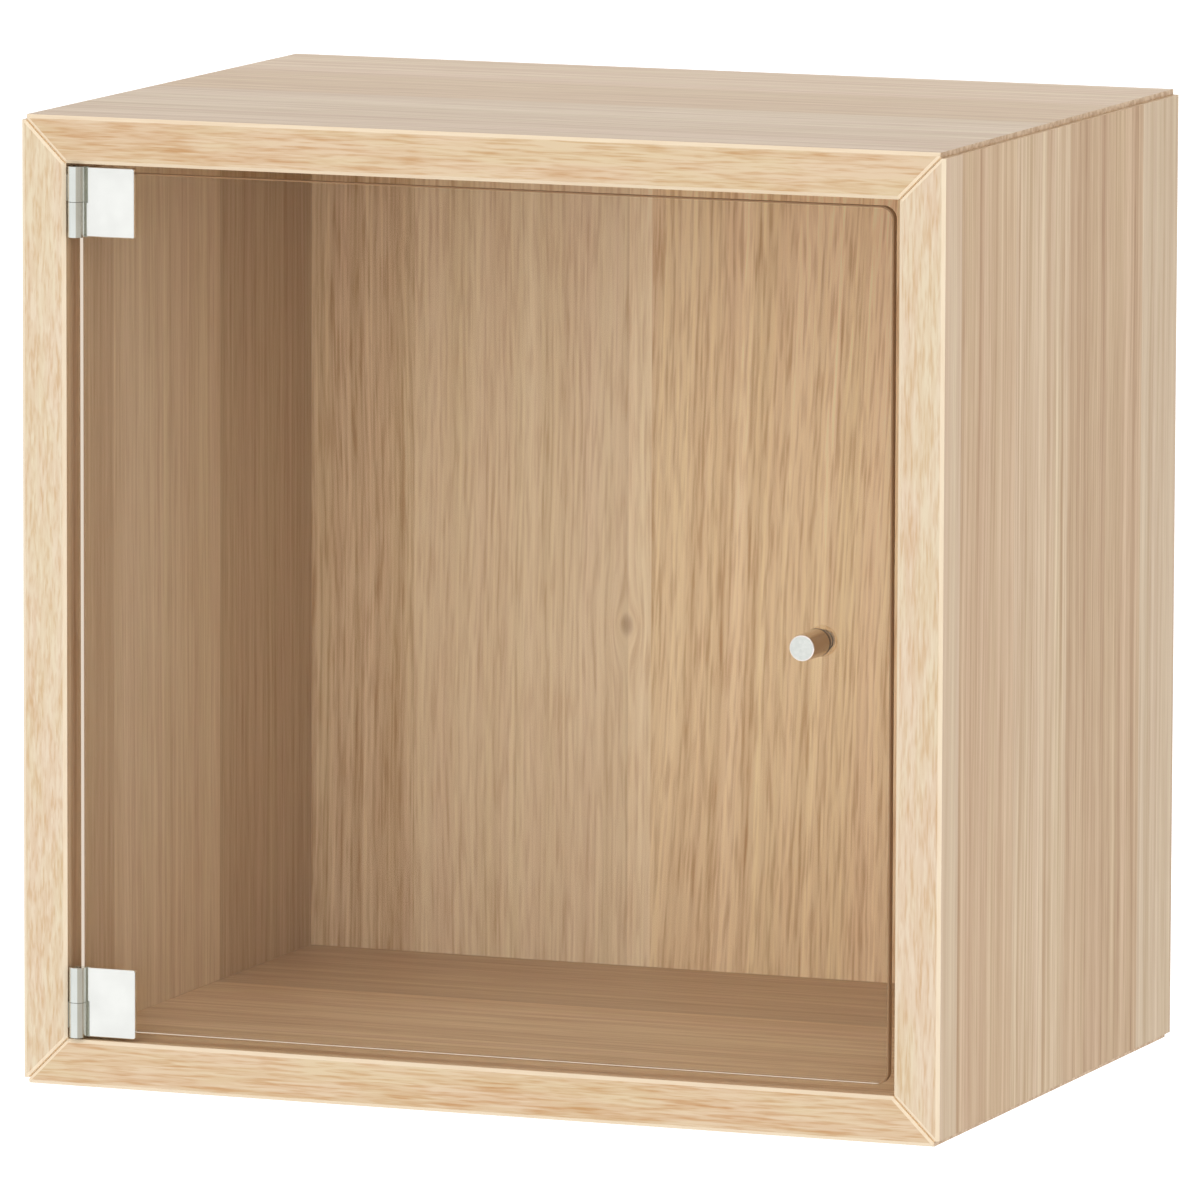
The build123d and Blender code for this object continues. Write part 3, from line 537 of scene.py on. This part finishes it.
def turned_chrome(name):
    """The knob's chrome, with the faint rings that turning leaves on its face; its face, rim and side get
    their own colours by which way they look, a painted reflection with a painted highlight on the rim.
    """
    material, graph = new_material(name)
    low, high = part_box("door_knob")
    x, _, z = graph.place()
    aside = graph.sum(x, -(low.x + high.x) / 2)
    above = graph.sum(z, -(low.z + high.z) / 2)
    radius = graph.math("SQRT", graph.sum(graph.times(aside, aside), graph.times(above, above)))
    rings = graph.math("SINE", graph.times(radius, 2 * math.pi / RING_PITCH))
    wobble = graph.noise(graph.scaled_place(700.0))
    gloss = graph.between(graph.sum(graph.times(rings, 0.1), wobble), 0.0, 1.0, 0.16, 0.24)
    bump = graph.bump(rings, 0.0015 * MM, 0.4)
    look = graph.facing()[1]
    face = graph.mix(graph.between(wobble, 0.3, 0.7), KNOB_FACE_PALE, KNOB_FACE_GREY)
    # painted highlight on the rim and painted reflection on the side
    on_rim = graph.times(graph.below(look, KNOB_RIM_FROM), graph.above(look, FLAT_FRONT))
    shade = graph.mix(on_rim, KNOB_SIDE_PAINTED_REFLECTION, KNOB_RIM_PAINTED_HIGHLIGHT)
    shade = graph.mix(graph.below(look, FLAT_FRONT), shade, face)
    graph.surface(graph.principled(Base_Color=shade, Metallic=1.0, Roughness=gloss, Normal=bump))
    return material


def zinc_steel(name):
    """Bright zinc plate with a soft spangle."""
    material, graph = new_material(name)
    spot = graph.scaled_place(220.0)
    spangle = graph.add("ShaderNodeTexVoronoi", {"Vector": spot, "Scale": 1.0}, output=1)
    shine = graph.split(spangle)[0]
    shade = graph.mix(graph.between(shine, 0.0, 1.0, 0.0, 0.35), srgb(206, 208, 210), srgb(168, 172, 176))
    gloss = graph.between(shine, 0.0, 1.0, 0.3, 0.46)
    graph.surface(graph.principled(Base_Color=shade, Metallic=1.0, Roughness=gloss))
    return material


def moulded(name, colour, other, roughness, **more):
    """Rubber, plastic or cast metal: an even colour broken by a fine moulded grain."""
    material, graph = new_material(name)
    grain = graph.noise(graph.scaled_place(1.0 / MOULD_GRAIN))
    patch = graph.noise(graph.scaled_place(150.0))
    shade = graph.mix(graph.between(patch, 0.3, 0.7), colour, other)
    gloss = graph.sum(graph.between(grain, 0.2, 0.8, -0.05, 0.05), roughness)
    bump = graph.bump(grain, MOULD_DEPTH, 0.5)
    graph.surface(graph.principled(Base_Color=shade, Roughness=gloss, Normal=bump, **more))
    return material


# ---- clear pieces ----
GLASS_IOR = 1.45
GLASS_CLEAR = (0.985, 0.99, 0.985, 1)
GLASS_MIRROR = 0.25
GLASS_FACE_FROM = 0.9
GLASS_SLOPE_FROM = 0.5
# painted light on the glass edges: a glow seen from inside stands in for light carried along the glass;
# brown painted shade and reflection is seen from outside
EDGE_PAINTED_GLOW = srgb(250, 234, 216)
EDGE_PAINTED_GLOW_STRENGTH = 0.85
EDGE_PAINTED_SHADE = srgb(170, 138, 106)
PLASTIC_HAZE = 0.12


def clear_plastic(name):
    """A water-clear moulding that shows only as a faint warm ring."""
    material, graph = new_material(name)
    cloud = graph.noise(graph.scaled_place(400.0))
    tint = graph.mix(graph.between(cloud, 0.3, 0.7), srgb(250, 242, 228), srgb(242, 232, 216))
    clear = graph.add("ShaderNodeBsdfTransparent", {"Color": tint})
    body = graph.principled(Base_Color=tint, Roughness=0.25, Specular_IOR_Level=0.5)
    graph.surface(graph.add("ShaderNodeMixShader", {0: PLASTIC_HAZE, 1: clear, 2: body}))
    return material


def clear_glass(name):
    """Clear sheet with a faint mirror; its ground edges carry a painted glow seen from inside and a painted
    brown shade and reflection seen from outside.
    """
    material, graph = new_material(name)
    square = graph.math("ABSOLUTE", graph.facing()[1])
    edge = glass_edge(graph, square)
    on_pane = graph.above(square, GLASS_FACE_FROM)
    graph.surface(graph.add("ShaderNodeMixShader", {0: on_pane, 1: edge, 2: glass_pane(graph)}))
    return material


def glass_pane(graph):
    """The two large faces: clear, with a faint and slightly smeared mirror."""
    smear = graph.noise(graph.scaled_place(14.0), 3.0)
    gloss = graph.between(smear, 0.3, 0.7, 0.0, 0.02)
    fresnel = graph.add("ShaderNodeFresnel", {"IOR": GLASS_IOR})
    clear = graph.add("ShaderNodeBsdfTransparent", {"Color": GLASS_CLEAR})
    mirror = graph.add("ShaderNodeBsdfGlossy", {"Color": WHITE, "Roughness": gloss})
    return graph.add("ShaderNodeMixShader", {0: graph.times(fresnel, GLASS_MIRROR), 1: clear, 2: mirror})


def glass_edge(graph, square):
    """The ground edges: a painted glow seen from inside stands in for light carried along the glass, and a
    painted brown shade and reflection is seen from outside; the chamfers beside the large faces keep the
    painted brown shade from both sides.
    """
    inside = graph.add("ShaderNodeNewGeometry", output=6)
    glow = graph.add("ShaderNodeEmission", {"Color": EDGE_PAINTED_GLOW, "Strength": EDGE_PAINTED_GLOW_STRENGTH})
    painted_edge_shade = graph.principled(Base_Color=EDGE_PAINTED_SHADE, Roughness=0.5, Specular_IOR_Level=0.3)
    ground = graph.add("ShaderNodeMixShader", {0: inside, 1: painted_edge_shade, 2: glow})
    chamfer = graph.above(square, GLASS_SLOPE_FROM)
    return graph.add("ShaderNodeMixShader", {0: chamfer, 1: ground, 2: painted_edge_shade})


def finishes():
    """Each material with the CAD nodes that wear it."""
    nickel = brushed_metal("satin_nickel", srgb(246, 247, 243), 0.2, hinge=True)
    zinc_casting = moulded("zinc_casting", srgb(150, 151, 142), srgb(134, 135, 127), 0.5, Metallic=0.6)
    gasket = moulded("smoky_gasket", srgb(104, 84, 64), srgb(92, 74, 56), 0.6)
    return (
        (oak_foil("top_oak", "xyz", TOP_PLANKS, RAIL_FRONT), ("top_panel",)),
        (oak_foil("bottom_oak", "xyz", BOTTOM_PLANKS, RAIL_FRONT), ("bottom_panel",)),
        (oak_foil("left_oak", "zyx", LEFT_PLANKS, LEFT_FRONT, 2.0 * MM), ("left_side_panel",)),
        (oak_foil("right_oak", "zyx", RIGHT_PLANKS, RIGHT_FRONT, 2.0 * MM), ("right_side_panel",)),
        (oak_foil("back_oak", "zxy", BACK_PLANKS, None, 3.0 * MM, BACK_KNOT, BACK_PAINTED_LIGHT_RAMPS), ("back_board",)),
        (clear_glass("door_glass"), ("glass_door",)),
        (nickel, ("upper_hinge_leaf", "lower_hinge_leaf", "upper_hinge_base", "lower_hinge_base")),
        (nickel, ("hinge_clamp_screws", "hinge_base_screws", "knob_screw")),
        (zinc_casting, ("upper_clamp_plate", "lower_clamp_plate")),
        (turned_chrome("knob_chrome"), ("door_knob",)),
        (gasket, ("hinge_front_gaskets", "hinge_rear_gaskets", "knob_gasket")),
        (clear_plastic("clear_plastic"), ("knob_washer",)),
        (zinc_steel("zinc_plate"), ("wall_rail", "left_hanger_bracket", "right_hanger_bracket")),
        (
            brushed_metal("zinc_screw", srgb(206, 208, 206), 0.3),
            ("hanger_screws", "hanger_lock_screws"),
        ),
        (brushed_metal("ground_pin", srgb(226, 226, 226), 0.18), ("hinge_pins",)),
        (brushed_metal("magnet_plate", srgb(190, 190, 188), 0.25, "y"), ("hinge_magnets",)),
        (moulded("ivory_nylon", srgb(226, 220, 202), srgb(216, 210, 192), 0.45), ("hinge_thrust_washers",)),
        (moulded("dowel_plastic", srgb(196, 196, 192), srgb(186, 186, 182), 0.5), ("wedge_dowels",)),
        (moulded("cap_plastic", srgb(214, 184, 144), srgb(206, 174, 134), 0.5), ("lock_screw_caps",)),
    )


def dress(material, names):
    """Give each named CAD node this material on every face."""
    for name in names:
        for slot in nodes[name].material_slots:
            slot.material = material


# ---- stage, light and camera ----
def build_floor():
    """A plain pale floor well below the cabinet, which nothing sees from underneath."""
    half = FLOOR_SIZE / 2
    level = cad_low.z - FLOOR_DROP
    mesh = bpy.data.meshes.new("floor")
    corners = [(x * half, y * half, level) for x, y in ((-1, -1), (1, -1), (1, 1), (-1, 1))]
    mesh.from_pydata(corners, [], [(0, 1, 2, 3)])
    floor = bpy.data.objects.new("floor", mesh)
    bpy.context.scene.collection.objects.link(floor)
    material, graph = new_material("pale_floor")
    matt = graph.add("ShaderNodeBsdfDiffuse", {"Color": FLOOR_PALE})
    camera_ray = graph.add("ShaderNodeLightPath", output=0)
    strength = graph.sum(FLOOR_GLOW, graph.times(camera_ray, FLOOR_WHITE))
    glow = graph.add("ShaderNodeEmission", {"Color": WHITE, "Strength": strength})
    lit = graph.add("ShaderNodeAddShader", {0: matt, 1: glow})
    clear = graph.add("ShaderNodeBsdfTransparent")
    under = graph.add("ShaderNodeNewGeometry", output=6)
    graph.surface(graph.add("ShaderNodeMixShader", {0: under, 1: lit, 2: clear}))
    mesh.materials.append(material)


def build_light():
    """Soft light from all round with a broad glow in front; bright metal sees a dimmer right side."""
    world = bpy.data.worlds.new("studio")
    bpy.context.scene.world = world
    world.use_nodes = True
    world.cycles.sampling_method = "NONE"
    graph = Graph(world.node_tree)
    way = graph.add("ShaderNodeTexCoord", output=0)
    glow = graph.math("POWER", graph.math("MAXIMUM", toward(graph, way, KEY_DIRECTION), 0.0), KEY_POWER)
    spread = graph.sum(AMBIENT, graph.times(glow, KEY))
    right = toward(graph, way, DIM_DIRECTION)
    dim = graph.between(right, DIM_EDGE, DIM_EDGE + DIM_SOFTNESS, 1.0, DIM_LEVEL)
    back = toward(graph, way, SHEEN_DIRECTION)
    sheen = graph.between(back, *SHEEN_EDGE, 1.0, SHEEN_LEVEL, smooth=True)
    mirrored = graph.times(dim, sheen)
    camera_ray = graph.add("ShaderNodeLightPath", output=0)
    glossy_ray = graph.add("ShaderNodeLightPath", output=3)
    strength = graph.blend(glossy_ray, spread, mirrored)
    strength = graph.blend(camera_ray, strength, 1.0)
    light = graph.add("ShaderNodeBackground", {"Color": WHITE, "Strength": strength})
    output = graph.tree.nodes.new("ShaderNodeOutputWorld")
    graph.tree.links.new(light, output.inputs["Surface"])


def toward(graph, way, direction):
    """The cosine between the way a ray looks and a direction."""
    length = math.sqrt(sum(value * value for value in direction))
    unit = tuple(value / length for value in direction)
    return graph.add("ShaderNodeVectorMath", {0: way, 1: unit}, output=1, operation="DOT_PRODUCT")


def build_camera():
    """A long lens, turned a little to the left and down, level to a fifth of a degree."""
    data = bpy.data.cameras.new("camera")
    data.lens = CAMERA_LENS
    camera = bpy.data.objects.new("camera", data)
    bpy.context.scene.collection.objects.link(camera)
    turn = Matrix.Rotation(math.radians(CAMERA_YAW), 4, "Z")
    tip = Matrix.Rotation(math.radians(90 + CAMERA_PITCH), 4, "X")
    roll = Matrix.Rotation(math.radians(CAMERA_ROLL), 4, "Z")
    camera.matrix_world = Matrix.Translation(CAMERA_PLACE) @ turn @ tip @ roll
    bpy.context.scene.camera = camera


for finish, wearers in finishes():
    dress(finish, wearers)
build_floor()
build_light()
build_camera()
bpy.context.scene.view_settings.view_transform = "Standard"
